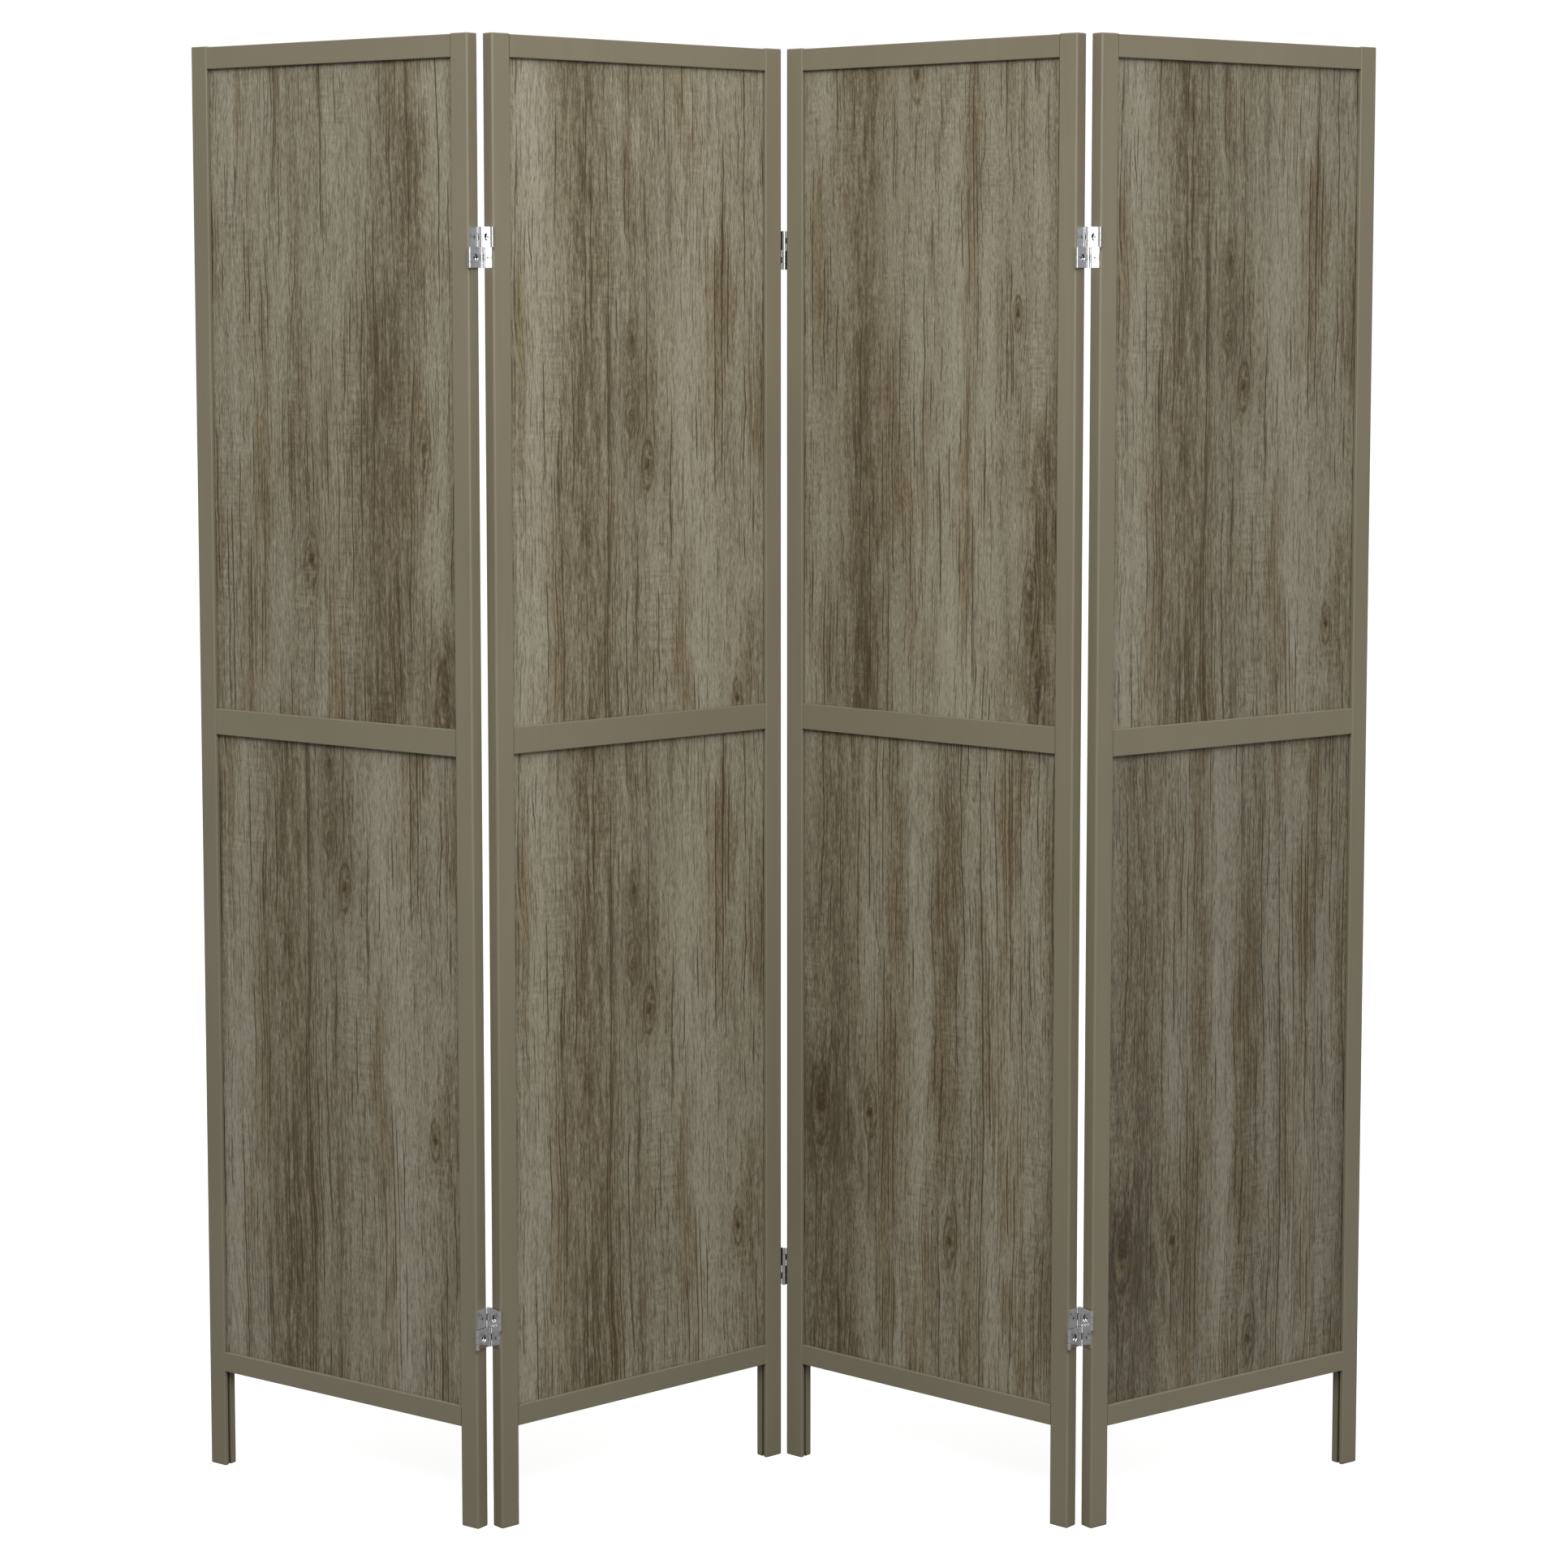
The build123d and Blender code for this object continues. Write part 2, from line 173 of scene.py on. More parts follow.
# Boards: how the print's own knots, bands and cracks are drawn, lengths in metres
WOBBLE_SCALE = 90.0
DRIFT_ACROSS = 0.5
DRIFT_SCALE = 3.5
DRIFT = 0.06
PATCH_UP = 0.14
PATCH_SCALE = 120.0
PATCH_RANGE = (0.36, 0.64, 0.3, 1.7)
BAND_FADE = 0.05
BAND_SOFTENING = 1.5
BAND_TONE = 0.36
BAND_BROWN = 0.9
OAK_BROWN = 0.85
HALO_TONE = -0.16
CORE_DARKNESS = 0.95
TORN_SCALE = 45.0
TORN = 0.008
CRACK_HALF_WIDTH = 0.0014
THINNEST = 0.00001
PRINT_COLOURS = (
    (0.05, (0.078, 0.064, 0.040)),
    (0.35, (0.136, 0.117, 0.076)),
    (0.52, (0.182, 0.161, 0.109)),
    (0.70, (0.226, 0.205, 0.148)),
    (0.98, (0.285, 0.263, 0.200)),
)
PRINT_MEAN = (0.185, 0.166, 0.122, 1.0)
STAIN_TINT = (0.80, 0.70, 0.57, 1.0)
INK = (0.040, 0.026, 0.010, 1.0)
PRINT_ROUGHNESS = (0.3, 1.2, 0.68, 0.52)
PRINT_SPECULAR = 0.35
PRINT_BUMP = (0.0005, 0.8)

# Printed oak patterns. Places are shares of a board: across from its left edge, down from the
# print's start (an upper board's height is 1), so a print can run past a board's ends.
# knots: (across, down, radius in metres, darkness)
# bands: (across, half width, down from, down to, strength), strength below zero darkens
# cracks: (across, down from, down to, strength)
PRINTS = {
    "three_knots": {
        "seed": 4.4,
        "knots": [
            (0.47, 0.42, 0.0055, 0.9),
            (0.47, 0.53, 0.0070, 0.8),
            (0.53, 0.61, 0.0070, 1.0),
            (0.88, 0.98, 0.0060, 1.0),
        ],
        "bands": [
            (0.30, 0.09, -0.3, 1.6, -0.6),
            (0.09, 0.09, -0.3, 1.6, 0.55),
            (0.73, 0.09, -0.3, 1.6, 0.4),
            (0.50, 0.10, 0.40, 0.62, -0.35),
            (0.92, 0.06, 0.85, 1.10, -0.4),
        ],
        "cracks": [
            (0.10, 0.20, 0.36, 0.9),
            (0.92, 0.12, 0.35, 0.7),
            (0.76, 0.55, 0.78, 0.6),
            (0.50, 0.26, 0.42, 0.6),
            (0.31, 0.70, 1.20, 0.6),
            (0.44, 0.62, 0.82, 0.6),
        ],
    },
    "dark_clusters": {
        "seed": 27.3,
        "knots": [
            (0.08, 0.60, 0.0120, 1.0),
            (0.28, 0.60, 0.0080, 1.0),
            (0.59, 0.78, 0.0070, 1.0),
        ],
        "bands": [
            (0.14, 0.13, -0.3, 1.3, -0.35),
            (0.46, 0.10, -0.3, 1.3, 0.35),
            (0.12, 0.11, 0.50, 0.72, -0.5),
            (0.30, 0.09, 0.48, 0.72, -0.4),
            (0.82, 0.08, -0.3, 1.3, 0.25),
        ],
        "cracks": [
            (0.19, -0.30, 1.00, 0.6),
            (0.31, 0.10, 0.50, 0.6),
            (0.75, 0.50, 0.80, 0.6),
            (0.10, 0.42, 0.60, 0.8),
            (0.60, 0.55, 0.78, 0.7),
        ],
    },
    "long_crack": {
        "seed": 1.7,
        "knots": [
            (0.41, 0.755, 0.0080, 1.0),
            (0.86, 0.58, 0.0080, 0.8),
            (0.93, 0.95, 0.0100, 0.9),
        ],
        "bands": [
            (0.71, 0.12, 0.35, 1.2, -0.6),
            (0.81, 0.07, 0.08, 0.34, -0.7),
            (0.20, 0.10, -0.2, 1.2, 0.35),
            (0.93, 0.08, 0.85, 1.2, -0.6),
        ],
        "cracks": [
            (0.34, 0.22, 0.50, 0.9),
            (0.40, 0.54, 0.75, 1.0),
            (0.77, 0.66, 1.05, 0.6),
            (0.22, 0.02, 0.13, 0.8),
            (0.90, 0.48, 0.62, 0.8),
            (0.83, 0.12, 0.30, 0.9),
            (0.60, 0.75, 0.96, 0.7),
        ],
    },
    "right_side_knots": {
        "seed": 21.9,
        "knots": [
            (0.83, 0.38, 0.0050, 1.0),
            (0.45, 0.02, 0.0080, 0.8),
            (0.88, 0.80, 0.0070, 0.9),
            (0.91, 0.93, 0.0080, 0.9),
        ],
        "bands": [
            (0.25, 0.10, -0.2, 1.2, -0.6),
            (0.66, 0.10, 0.25, 1.2, 0.45),
            (0.05, 0.06, -0.2, 1.2, 0.5),
            (0.92, 0.09, 0.55, 1.2, -0.7),
        ],
        "cracks": [
            (0.70, -0.05, 0.40, 0.8),
            (0.46, 0.73, 0.87, 0.9),
            (0.85, 0.68, 0.98, 0.9),
            (0.20, 0.50, 0.92, 0.6),
        ],
    },
}

# Each board: its print, how far down the print it starts, and its brightness, partly its own tone
# and partly painted light and shade: darker lower down, lighter on the better lit boards
BOARDS = {
    "panel_1_upper_board": ("long_crack", 0.0, 1.0),
    "panel_1_lower_board": ("three_knots", 0.385, 0.97),
    "panel_2_upper_board": ("three_knots", 0.0, 1.05),
    "panel_2_lower_board": ("three_knots", 0.185, 1.0),
    "panel_3_upper_board": ("right_side_knots", 0.0, 0.99),
    "panel_3_lower_board": ("dark_clusters", 0.0, 0.97),
    "panel_4_upper_board": ("three_knots", 0.12, 0.90),
    "panel_4_lower_board": ("dark_clusters", -0.16, 0.83),
}
PRINT_HEIGHT = 0.8


# ---------------------------------------------------------------- node helpers


class Graph:
    """Short calls for building a node tree."""

    def __init__(self, tree):
        self.tree = tree

    def node(self, kind, inputs=(), **settings):
        made = self.tree.nodes.new(kind)
        for name, value in settings.items():
            setattr(made, name, value)
        for key, value in dict(inputs).items():
            self.feed(made.inputs[key], value)
        return made

    def feed(self, socket, value):
        if isinstance(value, bpy.types.NodeSocket):
            self.tree.links.new(value, socket)
        else:
            socket.default_value = value

    def math(self, operation, a, b=0.0, c=0.0, clamp=False):
        inputs = {0: a, 1: b, 2: c}
        made = self.node("ShaderNodeMath", inputs, operation=operation, use_clamp=clamp)
        return made.outputs[0]

    def add(self, a, b):
        return self.math("ADD", a, b)

    def sub(self, a, b):
        return self.math("SUBTRACT", a, b)

    def mul(self, a, b):
        return self.math("MULTIPLY", a, b)

    def mul_add(self, a, b, c):
        return self.math("MULTIPLY_ADD", a, b, c)

    def larger(self, a, b):
        return self.math("MAXIMUM", a, b)

    def spread(self, fac, share, middle):
        """The middle value, moved by a share of how far a noise is from its own middle."""
        return self.mul_add(self.sub(fac, NOISE_MIDDLE), share, middle)

    def shift(self, place, fac, amount):
        """A place moved by up to half the amount either way by a noise."""
        return self.mul_add(fac, amount, self.sub(place, amount / 2))

    def smooth(self, value, low, high, out_low=0.0, out_high=1.0):
        """Smooth step from out_low where value is low to out_high where it is high."""
        sockets = {"Value": value, 1: low, 2: high, 3: out_low, 4: out_high}
        made = self.node("ShaderNodeMapRange", sockets, interpolation_type="SMOOTHSTEP")
        return made.outputs[0]

    def point(self, x, y, z):
        return self.node("ShaderNodeCombineXYZ", {0: x, 1: y, 2: z}).outputs[0]

    def noise(self, vector, scale=1.0, detail=2.0, roughness=0.5):
        sockets = {"Vector": vector, "Scale": scale, "Detail": detail, "Roughness": roughness}
        return self.node("ShaderNodeTexNoise", sockets).outputs["Fac"]

    def ramp(self, value, stops):
        made = self.node("ShaderNodeValToRGB", {0: value})
        elements = made.color_ramp.elements
        while len(elements) < len(stops):
            elements.new(0.5)
        for element, (place, colour) in zip(elements, stops):
            element.position = place
            element.color = (*colour, 1.0)
        return made.outputs["Color"]

    def mix_colour(self, share, a, b, blend="MIX"):
        made = self.node("ShaderNodeMix", data_type="RGBA", blend_type=blend)
        self.feed(made.inputs[0], share)
        self.feed(made.inputs[6], a)
        self.feed(made.inputs[7], b)
        return made.outputs[2]

    def object_place(self):
        """Place in the frame at rest, which stays with each piece as it moves."""
        return self.node("ShaderNodeTexCoord").outputs["Object"]

    def open_sky(self, distance, samples):
        """1 on an open face, falling towards 0 in recesses narrower than the distance."""
        inputs = {"Distance": distance}
        return self.node("ShaderNodeAmbientOcclusion", inputs, samples=samples).outputs["AO"]

    def bump(self, shader, height, distance, strength):
        inputs = {"Height": height, "Distance": distance, "Strength": strength}
        self.feed(shader.inputs["Normal"], self.node("ShaderNodeBump", inputs).outputs[0])


def new_group(name, inputs, outputs):
    """Empty node group with float sockets: the tree as a Graph, its inputs and its outputs."""
    tree = bpy.data.node_groups.new(name, "ShaderNodeTree")
    for socket in inputs:
        tree.interface.new_socket(socket, in_out="INPUT", socket_type="NodeSocketFloat")
    for socket in outputs:
        tree.interface.new_socket(socket, in_out="OUTPUT", socket_type="NodeSocketFloat")
    graph = Graph(tree)
    start = graph.node("NodeGroupInput").outputs
    end = graph.node("NodeGroupOutput").inputs
    return graph, start, end


def use_group(graph, tree, values):
    made = graph.node("ShaderNodeGroup", node_tree=tree)
    for name, value in values.items():
        graph.feed(made.inputs[name], value)
    return made.outputs


def new_material(name):
    material = bpy.data.materials.new(name)
    material.use_nodes = True
    graph = Graph(material.node_tree)
    shader = material.node_tree.nodes["Principled BSDF"]
    return material, graph, shader


# ---------------------------------------------------------------- panel coordinates


def panel_frame(panel):
    """Middle of a panel's feet and the direction of its width, at rest."""
    feet = {m["name"]: Vector(m["pos_m"]) for m in frame["record"]["mounts"]}
    left = feet[f"panel_{panel}_left_foot"]
    right = feet[f"panel_{panel}_right_foot"]
    return (left + right) / 2, (right - left).normalized()


def across_and_up(graph, panel):
    """Place on a panel in metres: across from its middle, and up from the floor."""
    middle, direction = panel_frame(panel)
    parts = graph.node("ShaderNodeSeparateXYZ", {0: graph.object_place()}).outputs
    along_x = graph.mul_add(parts["X"], direction.x, -middle.dot(direction))
    return graph.mul_add(parts["Y"], direction.y, along_x), parts["Z"]


# ---------------------------------------------------------------- board material


def knot_group():
    """One knot: how far the grain is pushed aside here, how dark it is, and the stain round it."""
    names = ("Across", "Up", "Wobble", "Knot across", "Knot up", "Radius")
    graph, given, result = new_group("knot", names, ("Push", "Core", "Halo"))
    side = graph.sub(given["Across"], given["Knot across"])
    rise = graph.sub(given["Up"], given["Knot up"])
    near_side = graph.math("DIVIDE", side, given["Radius"])
    near_rise = graph.math("DIVIDE", rise, given["Radius"])

    def reach_in(shape):
        """Squared distance from the knot in radii, with the two directions weighed by shape."""
        wide = graph.mul(near_side, shape[0])
        tall = graph.mul(near_rise, shape[1])
        return graph.add(graph.mul(wide, wide), graph.mul(tall, tall))

    reach = reach_in(KNOT_PUSH_SHAPE)
    pull = graph.math("EXPONENT", graph.mul(reach, -1.0))
    graph.feed(result["Push"], graph.mul(graph.mul(side, pull), KNOT_PUSH))
    distance = graph.math("SQRT", reach_in(KNOT_CORE_SHAPE))
    ragged = graph.mul_add(given["Wobble"], KNOT_RAGGED, -KNOT_RAGGED / 2)
    distance = graph.add(distance, ragged)
    blotch = graph.smooth(given["Wobble"], *KNOT_BLOTCH)
    core = graph.mul(graph.smooth(distance, *KNOT_CORE), graph.mul_add(blotch, *CORE_BLOTCH))
    rim_reach = graph.math("SQRT", graph.mul(reach, KNOT_RIM_SPREAD))
    from_rim = graph.math("ABSOLUTE", graph.sub(rim_reach, KNOT_RIM_RADIUS))
    rim_share = graph.smooth(from_rim, KNOT_RIM_HALF_WIDTH, 0.0)
    rim = graph.mul(rim_share, graph.mul_add(blotch, *RIM_BLOTCH))
    graph.feed(result["Core"], graph.larger(core, rim))
    graph.feed(result["Halo"], graph.math("EXPONENT", graph.mul(reach, KNOT_HALO_FALL)))
    return graph.tree


def band_group():
    """One soft vertical band, fading out at its sides and ends."""
    names = ("Across", "Up", "Middle", "Half width", "Bottom", "Top")
    graph, given, result = new_group("band", names, ("Share",))
    bottom, top = given["Bottom"], given["Top"]
    side = graph.sub(given["Across"], given["Middle"])
    share = graph.smooth(graph.math("ABSOLUTE", side), given["Half width"], 0.0)
    rising = graph.smooth(given["Up"], graph.sub(bottom, BAND_FADE), graph.add(bottom, BAND_FADE))
    falling = graph.smooth(given["Up"], graph.add(top, BAND_FADE), graph.sub(top, BAND_FADE))
    graph.feed(result["Share"], graph.mul(share, graph.mul(rising, falling)))
    return graph.tree


def crack_group():
    """One thin dark crack that tapers at both ends."""
    names = ("Across", "Up", "Middle", "Bottom", "Top")
    graph, given, result = new_group("crack", names, ("Share",))
    side = graph.sub(given["Across"], given["Middle"])
    middle = graph.mul(graph.add(given["Bottom"], given["Top"]), 0.5)
    half = graph.mul(graph.sub(given["Top"], given["Bottom"]), 0.5)
    run = graph.math("DIVIDE", graph.sub(given["Up"], middle), half)
    taper = graph.math("SUBTRACT", 1.0, graph.mul(run, run), clamp=True)
    width = graph.mul_add(taper, CRACK_HALF_WIDTH, THINNEST)
    line = graph.smooth(graph.math("ABSOLUTE", side), width, 0.0)
    graph.feed(result["Share"], graph.mul(line, graph.math("SQRT", taper)))
    return graph.tree


def oak_group():
    """Grain of the printed weathered oak: tone, brown stain, dark lines and embossed height."""
    results = ("Tone", "Brown", "Lines", "Height")
    graph, given, result = new_group("oak", ("Across", "Up", "Seed"), results)
    straight, up, seed = given["Across"], given["Up"], given["Seed"]

    def layer(name, across):
        scale_across, scale_up, offset, detail, roughness = OAK_LAYERS[name]
        place = graph.point(
            graph.mul(across, scale_across), graph.add(seed, offset), graph.mul(up, scale_up)
        )
        return graph.noise(place, detail=detail, roughness=roughness)

    waved = graph.mul_add(layer("wave", straight), WAVE, graph.sub(straight, WAVE_BACK))
    across = graph.mul_add(layer("ripple", straight), RIPPLE, waved)
    layers = {name: layer(name, across) for name in OAK_LAYERS if name not in ("wave", "ripple")}
    stain = layers["stain"]

    def cracks(lanes, scale_up, offset, threshold, half_width):
        """Thin upright lines, at most one in each lane, coming and going along their length."""
        lane = graph.mul(across, lanes)
        number = graph.math("FLOOR", lane)
        key = graph.point(number, graph.add(seed, offset), 0.0)
        chance = graph.node("ShaderNodeTexWhiteNoise", {"Vector": key}).outputs["Value"]
        middle = graph.mul_add(chance, 1.0 - 2.0 * LANE_MARGIN, LANE_MARGIN)
        away = graph.math("ABSOLUTE", graph.sub(graph.math("FRACT", lane), middle))
        along = graph.mul(up, scale_up)
        run = graph.point(graph.mul(number, LANE_STEP), graph.add(seed, offset), along)
        chance_here = graph.spread(stain, STAIN_CRACKS, graph.noise(run, detail=1.0))
        present = graph.smooth(chance_here, threshold, threshold + CRACK_FADE)
        half = graph.mul_add(present, half_width * lanes, LANE_THINNEST)
        return graph.mul(graph.smooth(away, half, 0.0), present)

    tone = TONE_MIDDLE
    for name, share in TONE_SHARES.items():
        tone = graph.spread(layers[name], share, tone)
    saw_zones = graph.smooth(layers["saw_zones"], *SAW_ZONES)
    saw_marks = graph.mul(graph.sub(layers["saw"], NOISE_MIDDLE), saw_zones)
    tone = graph.mul_add(saw_marks, SAW_TONE, tone)
    brown = graph.smooth(graph.spread(layers["streaks"], STREAKS_IN_STAIN, stain), *BROWN_RANGE)

    rings = graph.math("PINGPONG", graph.mul(layers["figure"], RING_COUNT), 1.0)
    ring_zones = graph.smooth(layers["ring_zones"], *RING_ZONES)
    ring_darkness = graph.mul(ring_zones, RING_DARKNESS)
    lines = graph.mul(graph.smooth(rings, RING_HALF_WIDTH, 0.0), ring_darkness)
    dashes = graph.mul(graph.smooth(layers["dashes"], *DASH_RANGE), DASH_DARKNESS)
    lines = graph.larger(lines, dashes)
    for darkness, *kind in OAK_CRACKS:
        lines = graph.larger(lines, graph.mul(cracks(*kind), darkness))

    height = graph.mul(layers["streaks"], STREAKS_HEIGHT)
    height = graph.mul_add(layers["grain"], GRAIN_HEIGHT, height)
    height = graph.mul_add(layers["saw"], SAW_HEIGHT, height)
    graph.feed(result["Tone"], tone)
    graph.feed(result["Brown"], brown)
    graph.feed(result["Lines"], lines)
    graph.feed(result["Height"], height)
    return graph.tree


def board_material(node, groups):
    """Printed oak on one board: the knots, bands and cracks of its print over the shared grain."""
    print_name, shift, shade = BOARDS[node]
    look = PRINTS[print_name]
    low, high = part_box(node)
    width = (Vector((high.x - low.x, high.y - low.y))).length
    material, graph, shader = new_material(f"printed_oak_{node}")
    across, height_up = across_and_up(graph, int(node.split("_")[1]))
    up = graph.sub(height_up, high.z + shift * PRINT_HEIGHT)
    seed = look["seed"]
    place = graph.point(across, seed, up)

    def across_at(share):
        return (share - 0.5) * width

    def up_at(share):
        return -share * PRINT_HEIGHT

    def extent(across, middle, start, end):
        sides = {"Across": across, "Middle": across_at(middle)}
        return {**sides, "Up": up, "Bottom": up_at(end), "Top": up_at(start)}

    wobble = graph.noise(place, scale=WOBBLE_SCALE, detail=3.0)
    bent = across
    core = halo = 0.0
    for share_across, share_down, radius, darkness in look["knots"]:
        spot = {
            "Across": across,
            "Up": up,
            "Wobble": wobble,
            "Knot across": across_at(share_across),
            "Knot up": up_at(share_down),
            "Radius": radius,
        }
        knot = use_group(graph, groups["knot"], spot)
        bent = graph.add(bent, knot["Push"])
        core = graph.larger(core, graph.mul(knot["Core"], darkness))
        halo = graph.larger(halo, graph.mul(knot["Halo"], darkness))

    oak = use_group(graph, groups["oak"], {"Across": bent, "Up": up, "Seed": seed})
    tone = oak["Tone"]
    brown = graph.larger(graph.mul(oak["Brown"], OAK_BROWN), halo)
    long_place = graph.point(graph.mul(across, DRIFT_ACROSS), seed, up)
    drift = graph.noise(long_place, scale=DRIFT_SCALE, detail=3.0)
    drifted = graph.shift(bent, drift, DRIFT)
    tall_place = graph.point(across, seed, graph.mul(up, PATCH_UP))
    patches = graph.noise(tall_place, scale=PATCH_SCALE, detail=4.0, roughness=0.65)
    patches = graph.smooth(patches, *PATCH_RANGE)
    for middle, half_width, start, end, strength in look["bands"]:
        values = extent(drifted, middle, start, end)
        values["Half width"] = half_width * width * BAND_SOFTENING
        share = use_group(graph, groups["band"], values)["Share"]
        if strength < 0.0:
            share = graph.mul(share, patches)
            brown = graph.larger(brown, graph.mul(share, -BAND_BROWN * strength))
        tone = graph.mul_add(share, BAND_TONE * strength, tone)
    tone = graph.mul_add(halo, HALO_TONE, tone)

    dark = graph.larger(oak["Lines"], graph.mul(core, CORE_DARKNESS))
    ragged = graph.noise(place, scale=TORN_SCALE, detail=3.0)
    torn = graph.shift(drifted, ragged, TORN)
    for middle, start, end, strength in look["cracks"]:
        crack = use_group(graph, groups["crack"], extent(torn, middle, start, end))
        dark = graph.larger(dark, graph.mul(crack["Share"], strength))

    colour = graph.ramp(tone, PRINT_COLOURS)
    stained = graph.mix_colour(1.0, colour, STAIN_TINT, blend="MULTIPLY")
    colour = graph.mix_colour(brown, colour, stained)
    colour = graph.mix_colour(dark, colour, INK)
    # Painted light and shade: the whole board is made lighter or darker by its brightness from
    # BOARDS
    colour = graph.mix_colour(1.0, colour, (shade, shade, shade, 1.0), blend="MULTIPLY")
    shader.inputs["Base Color"].default_value = PRINT_MEAN
    graph.feed(shader.inputs["Base Color"], colour)
    graph.feed(shader.inputs["Roughness"], graph.smooth(oak["Height"], *PRINT_ROUGHNESS))
    shader.inputs["Specular IOR Level"].default_value = PRINT_SPECULAR
    graph.bump(shader, oak["Height"], *PRINT_BUMP)
    return material


# ---------------------------------------------------------------- other materials


def paint_material():
    """Satin taupe paint: slight brush and spray texture, rounded edges lightened partly as rubbed
    wear and partly as a painted highlight, and painted shade in recesses.
    """
    material, graph, shader = new_material("taupe_satin_paint")
    place = graph.object_place()
    long_grain = graph.node("ShaderNodeMapping", {"Vector": place, "Scale": BRUSH_SCALE})
    brush = graph.noise(long_grain.outputs[0], detail=3.0)
    cloud = graph.noise(place, scale=CLOUD_SCALE)
    spray = graph.noise(place, scale=SPRAY_SCALE)
    tone = graph.spread(cloud, CLOUD_TONE, graph.spread(brush, BRUSH_TONE, RAMP_MIDDLE))
    colour = graph.ramp(tone, PAINT_COLOURS)
    rounded = graph.node("ShaderNodeBevel", {"Radius": EDGE_RADIUS}, samples=4).outputs[0]
    facing = graph.node("ShaderNodeNewGeometry").outputs["Normal"]
    both = {0: rounded, 1: facing}
    agree = graph.node("ShaderNodeVectorMath", both, operation="DOT_PRODUCT").outputs["Value"]
    edge = graph.smooth(agree, *EDGE_RANGE)
    # Lighter rounded edges: partly rubbed wear, partly a painted highlight of the edges catching
    # the light
    edge_patches = graph.noise(place, scale=EDGE_PATCH_SCALE, detail=3.0)
    worn_and_highlit = graph.mul(edge, graph.smooth(edge_patches, *EDGE_PATCH_RANGE))
    colour = graph.mix_colour(graph.mul(worn_and_highlit, EDGE_WEAR_AND_HIGHLIGHT_SHARE), colour, EDGE_WEAR_AND_HIGHLIGHT_COLOUR)
    # Painted shade: darker in the grooves, joints and inner corners
    recess_shade = graph.smooth(graph.open_sky(RECESS_SHADE_SIZE, 3), *RECESS_SHADE_RANGE)
    colour = graph.mix_colour(recess_shade, colour, RECESS_SHADE_COLOUR)
    graph.feed(shader.inputs["Base Color"], colour)
    graph.feed(shader.inputs["Roughness"], graph.smooth(brush, *PAINT_ROUGHNESS))
    shader.inputs["Specular IOR Level"].default_value = PAINT_SPECULAR
    graph.bump(shader, graph.mul_add(spray, SPRAY_HEIGHT, brush), *PAINT_BUMP)
    return material


def zinc_material(name):
    """Bright zinc plating: fine rolling marks, a mottled roughness and painted shade in its
    recesses.
    """
    colours, (rough_low, rough_high), grain_scale = ZINC_FINISHES[name]
    material, graph, shader = new_material(name)
    place = graph.object_place()
    rolled = graph.node("ShaderNodeMapping", {"Vector": place, "Scale": grain_scale})
    marks = graph.noise(rolled.outputs[0], detail=4.0, roughness=0.6)
    mottle = graph.noise(place, scale=MOTTLE_SCALE, detail=3.0)
    tone = graph.spread(mottle, ZINC_TONE, graph.spread(marks, ZINC_TONE, RAMP_MIDDLE))
    plated = graph.ramp(tone, tuple(zip(ZINC_STOPS, colours)))
    # Painted shade: dark lines in the knuckle gaps and crevices
    crevice_shade = graph.smooth(graph.open_sky(CREVICE_SHADE_SIZE, 6), *CREVICE_SHADE_RANGE)
    colour = graph.mix_colour(crevice_shade, plated, CREVICE_SHADE_COLOUR)
    graph.feed(shader.inputs["Base Color"], colour)
    roughness = graph.smooth(tone, *ZINC_STOPS, rough_high, rough_low)
    graph.feed(shader.inputs["Roughness"], roughness)
    shader.inputs["Metallic"].default_value = 1.0
    graph.bump(shader, marks, *ZINC_BUMP)
    return material


def paint_nodes():
    """Give every CAD node its material."""
    groups = {
        "knot": knot_group(),
        "band": band_group(),
        "crack": crack_group(),
        "oak": oak_group(),
    }
    finishes = {
        "painted_frame": paint_material(),
        "hinge_plate": zinc_material("zinc_sheet"),
        "hinge_pin": zinc_material("zinc_pin"),
        "hinge_screw": zinc_material("zinc_screw"),
    }
    for part in frame["record"]["subparts"]:
        name = part["node"]
        node = frame["nodes"][name]
        if part["material_slot"] == "printed_board":
            finish = board_material(name, groups)
        else:
            finish = finishes[part["material_slot"]]
        node.data.materials.clear()
        node.data.materials.append(finish)


# ---------------------------------------------------------------- floor, light, camera


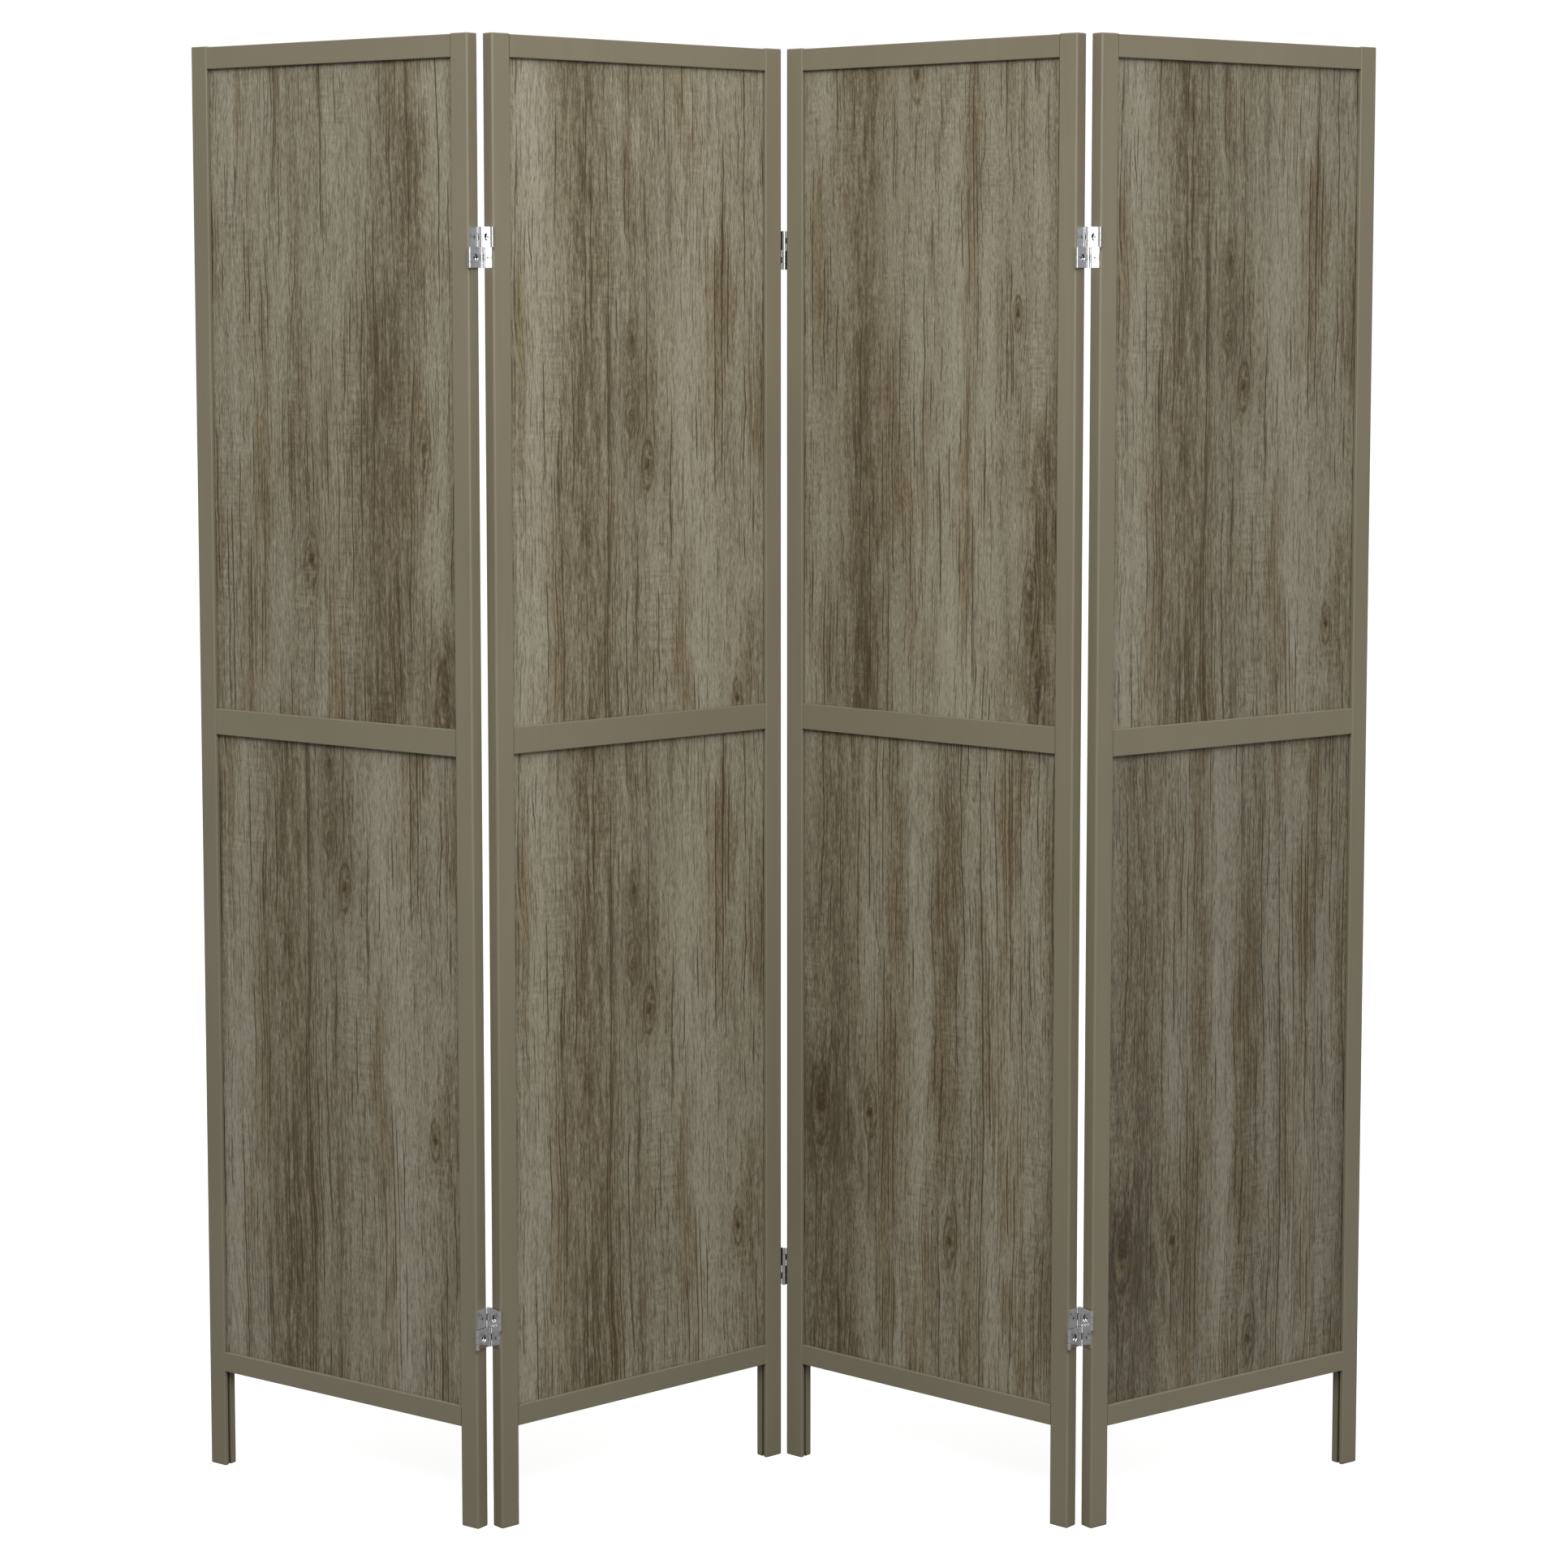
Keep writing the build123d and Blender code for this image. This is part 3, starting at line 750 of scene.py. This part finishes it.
def make_floor():
    """Plain floor that looks near white but throws back less light than it seems to."""
    bpy.ops.mesh.primitive_plane_add(size=FLOOR_SIZE, location=(0.0, 0.0, 0.0))
    floor = bpy.context.object
    floor.name = "floor"
    material, graph, shader = new_material("pale_floor")
    seen = graph.node("ShaderNodeLightPath").outputs["Is Camera Ray"]
    colour = graph.mix_colour(seen, FLOOR_BOUNCE, FLOOR_COLOUR)
    graph.feed(shader.inputs["Base Color"], colour)
    shader.inputs["Roughness"].default_value = FLOOR_ROUGHNESS
    shader.inputs["Specular IOR Level"].default_value = FLOOR_SPECULAR
    shader.inputs["Emission Color"].default_value = WHITE
    graph.feed(shader.inputs["Emission Strength"], graph.mul(seen, FLOOR_LIFT))
    floor.data.materials.append(material)


def make_sky():
    """White surroundings that light the screen more from above than from the sides."""
    world = bpy.data.worlds.new("studio")
    bpy.context.scene.world = world
    world.use_nodes = True
    graph = Graph(world.node_tree)
    background = world.node_tree.nodes["Background"]
    direction = graph.node("ShaderNodeTexCoord").outputs["Generated"]
    height = graph.node("ShaderNodeSeparateXYZ", {0: direction}).outputs["Z"]
    light = graph.smooth(height, 0.0, SKY_TOP, SKY_LIGHT_LOW, SKY_LIGHT_HIGH)
    seen = graph.node("ShaderNodeLightPath").outputs["Is Camera Ray"]
    strength = graph.mul_add(seen, graph.sub(SKY_SEEN, light), light)
    graph.feed(background.inputs["Strength"], strength)
    background.inputs["Color"].default_value = WHITE


def make_light(name, place, target, size, power):
    data = bpy.data.lights.new(name, "AREA")
    data.shape = "RECTANGLE"
    data.size, data.size_y = size
    data.energy = power
    light = bpy.data.objects.new(name, data)
    light.location = place
    light.rotation_euler = (Vector(target) - Vector(place)).to_track_quat("-Z", "Y").to_euler()
    light.visible_camera = False
    bpy.context.scene.collection.objects.link(light)


def make_sun(name, heading, elevation, strength, angle):
    data = bpy.data.lights.new(name, "SUN")
    data.energy = strength
    data.angle = math.radians(angle)
    light = bpy.data.objects.new(name, data)
    light.rotation_euler = (math.radians(90.0 - elevation), 0.0, math.radians(heading))
    bpy.context.scene.collection.objects.link(light)


def make_camera():
    data = bpy.data.cameras.new("camera")
    data.lens = CAMERA_LENS
    data.sensor_width = CAMERA_SENSOR
    data.shift_y = CAMERA_SHIFT_Y
    camera = bpy.data.objects.new("camera", data)
    camera.location = CAMERA_PLACE
    camera.rotation_euler = (math.radians(90.0 - CAMERA_TILT_DOWN), 0.0, math.radians(CAMERA_TURN))
    bpy.context.scene.collection.objects.link(camera)
    bpy.context.scene.camera = camera


paint_nodes()
make_floor()
make_sky()
for area_light in AREA_LIGHTS:
    make_light(*area_light)
make_sun(*FILL_SUN)
make_camera()
bpy.context.scene.view_settings.view_transform = "Standard"
